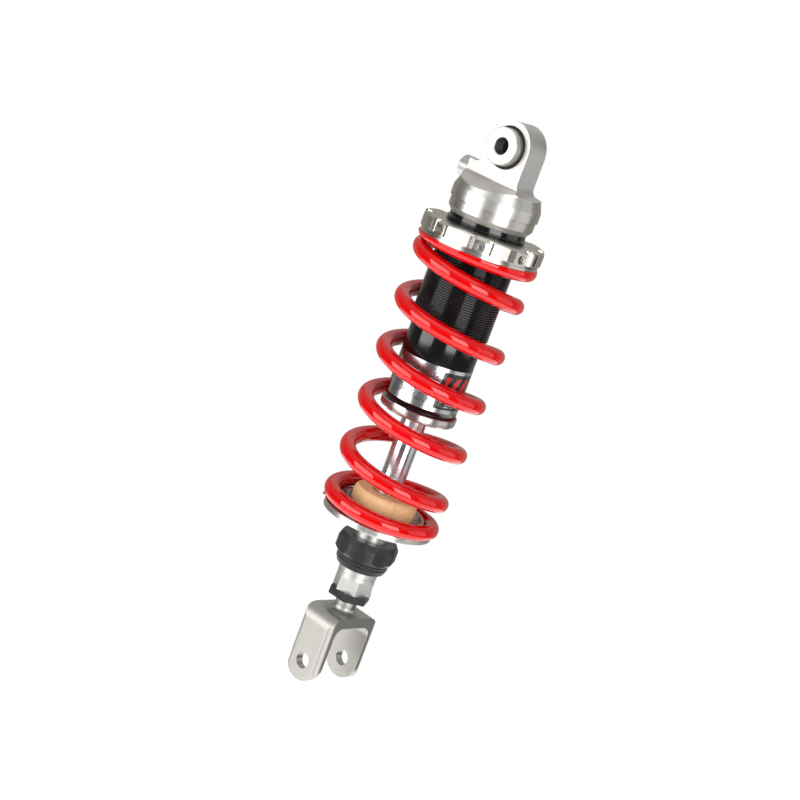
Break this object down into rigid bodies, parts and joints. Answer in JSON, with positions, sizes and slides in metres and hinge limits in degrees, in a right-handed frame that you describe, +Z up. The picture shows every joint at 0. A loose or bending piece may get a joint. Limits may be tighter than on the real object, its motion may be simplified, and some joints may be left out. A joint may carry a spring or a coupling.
{
  "type": "motorcycle rear shock absorber",
  "caption": "Motorcycle rear coil-over shock absorber: coil spring round a gas damper, preload collar, rebound knob, upper eye and adjustable lower clevis.",
  "frame": {"origin": "centre of the upper bolt bore, halfway between the ends of the two eye spacers", "axes": "+Z up the damper axis from the clevis to the eye, +Y along the upper bolt, +X away from the gas valve"},
  "size_m": [0.0774, 0.0774, 0.371],
  "materials": {
    "machined_aluminium": "fine turned and milled, clear anodised",
    "satin_fork": "bead blasted satin",
    "black_anodised": "hard anodised gloss black",
    "black_plastic": "moulded, semi-matt",
    "black_steel": "black oxide",
    "chrome": "ground and polished hard chrome",
    "spring_red": "gloss powder coat",
    "foam_tan": "closed-cell polyurethane foam",
    "label_film": "printed film under clear laminate",
    "rubber": "nitrile",
    "steel": "zinc plated",
    "bearing_bronze": "sintered bronze, PTFE lined",
    "valve_brass": "turned",
    "ptfe": "filled PTFE"
  },
  "bodies": {
    "bolt_sleeve": {"upper_sleeve": "steel", "upper_spacer_front": "machined_aluminium", "upper_spacer_rear": "machined_aluminium"},
    "damper_body": {"end_cap": "machined_aluminium", "end_cap_oring": "rubber", "eye_bearing": "bearing_bronze", "eye_seal_front": "rubber", "eye_seal_rear": "rubber", "gas_valve": "valve_brass", "damper_tube": "black_anodised", "tube_label": "label_film", "seal_head": "machined_aluminium", "head_oring": "rubber", "rod_bush": "bearing_bronze", "rod_seal": "rubber", "end_ring": "machined_aluminium", "rod_wiper": "rubber"},
    "dividing_piston": {"floating_piston": "machined_aluminium", "floating_oring": "rubber"},
    "upper_seat": {"upper_thrust_ring": "machined_aluminium", "spring": "spring_red"},
    "collar": {"preload_collar": "machined_aluminium", "collar_set_screw": "steel", "collar_pinch_screw": "steel"},
    "lower_seat": {"lower_spring_seat": "machined_aluminium", "bump_washer": "steel", "bump_stop": "foam_tan"},
    "rod": {"piston_rod": "chrome", "piston": "machined_aluminium", "piston_band": "ptfe", "compression_shims": "steel", "rebound_shims": "steel", "top_out_spacer": "steel", "piston_nut": "steel", "rod_end": "machined_aluminium", "index_ring": "black_plastic", "lock_nut": "black_steel"},
    "clevis": {"clevis": "satin_fork"},
    "knob": {"rebound_knob": "black_plastic"},
    "needle": {"rebound_needle": "steel", "adjuster_pin": "steel"}
  },
  "joints": [
    {"name": "upper_pivot", "type": "hinge", "parent": "bolt_sleeve", "child": "damper_body", "pos_m": [0, 0, 0], "axis": [0, 1, 0], "continuous": true},
    {"name": "preload_slide", "type": "slide", "parent": "damper_body", "child": "upper_seat", "axis": [0, 0, 1], "range_m": [-0.009, 0.0045]},
    {"name": "preload_turn", "type": "hinge", "parent": "upper_seat", "child": "collar", "pos_m": [0, 0, -0.0566], "axis": [0, 0, 1], "range_deg": [-2200, 1100]},
    {"name": "damper_stroke", "type": "slide", "parent": "damper_body", "child": "lower_seat", "axis": [0, 0, 1], "range_m": [0, 0.052], "stiffness_N_per_m": 78000, "springref_m": -0.002, "deforming": ["spring"]},
    {"name": "dividing_piston_float", "type": "slide", "parent": "damper_body", "child": "dividing_piston", "axis": [0, 0, 1], "range_m": [0, 0.0085]},
    {"name": "rod_turn", "type": "hinge", "parent": "lower_seat", "child": "rod", "pos_m": [0, 0, -0.2875], "axis": [0, 0, 1], "range_deg": [-735, 735]},
    {"name": "ride_height", "type": "slide", "parent": "lower_seat", "child": "clevis", "axis": [0, 0, 1], "range_m": [-0.003, 0.003]},
    {"name": "rebound_knob_turn", "type": "hinge", "parent": "rod", "child": "knob", "pos_m": [0, 0, -0.2625], "axis": [0, 0, 1], "range_deg": [-560, 190]},
    {"name": "needle_slide", "type": "slide", "parent": "rod", "child": "needle", "axis": [0, 0, 1], "range_m": [-0.0015, 0.0005]}
  ],
  "couplings": [
    {"joint": "preload_turn", "follows": "preload_slide", "rad_per_m": 4188.8},
    {"joint": "rod_turn", "follows": "ride_height", "rad_per_m": -4188.8},
    {"joint": "dividing_piston_float", "follows": "damper_stroke", "ratio": 0.16},
    {"joint": "rebound_knob_turn", "follows": "needle_slide", "rad_per_m": 6283.2}
  ]
}
